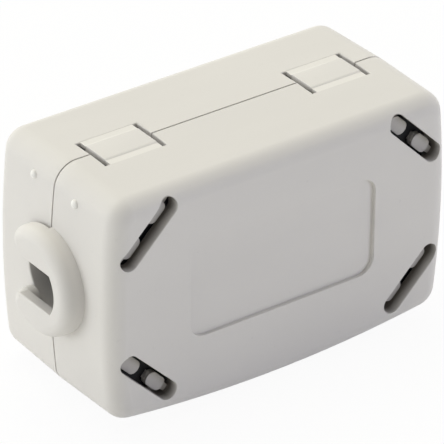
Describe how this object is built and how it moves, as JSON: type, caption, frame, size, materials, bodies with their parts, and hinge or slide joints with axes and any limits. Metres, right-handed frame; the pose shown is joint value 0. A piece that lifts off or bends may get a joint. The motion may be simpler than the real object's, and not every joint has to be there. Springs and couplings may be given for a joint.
{
  "type": "clip-on ferrite bead",
  "caption": "Clip-on ferrite bead for a cable: a folding two-part plastic housing with slotted cable clips at its ends, holding split ferrite core halves round a cable.",
  "frame": {"origin": "middle of the underside, on the parting plane", "axes": "+X along the cable, -Y out of the front face, +Z towards the hinge side"},
  "size_m": [0.0442, 0.0194, 0.0253],
  "materials": {
    "housing": "fine matt moulded nylon, light warm grey",
    "ferrite": "sintered black ferrite, ground mating faces"
  },
  "bodies": {
    "rear_half": {"rear_shell": "housing", "rear_core_half": "ferrite"},
    "hinge_straps": {"left_hinge_strap": "housing", "right_hinge_strap": "housing"},
    "front_half": {"front_shell": "housing", "front_core_half": "ferrite"}
  },
  "joints": [
    {"name": "strap_fold", "type": "hinge", "parent": "rear_half", "child": "hinge_straps", "pos_m": [0, 0.0022, 0.02502], "axis": [-1, 0, 0], "range_deg": [0, 90]},
    {"name": "front_fold", "type": "hinge", "parent": "hinge_straps", "child": "front_half", "pos_m": [0, -0.0022, 0.02502], "axis": [-1, 0, 0], "range_deg": [0, 90]}
  ],
  "couplings": [
    {"joint": "front_fold", "follows": "strap_fold", "ratio": 1}
  ]
}
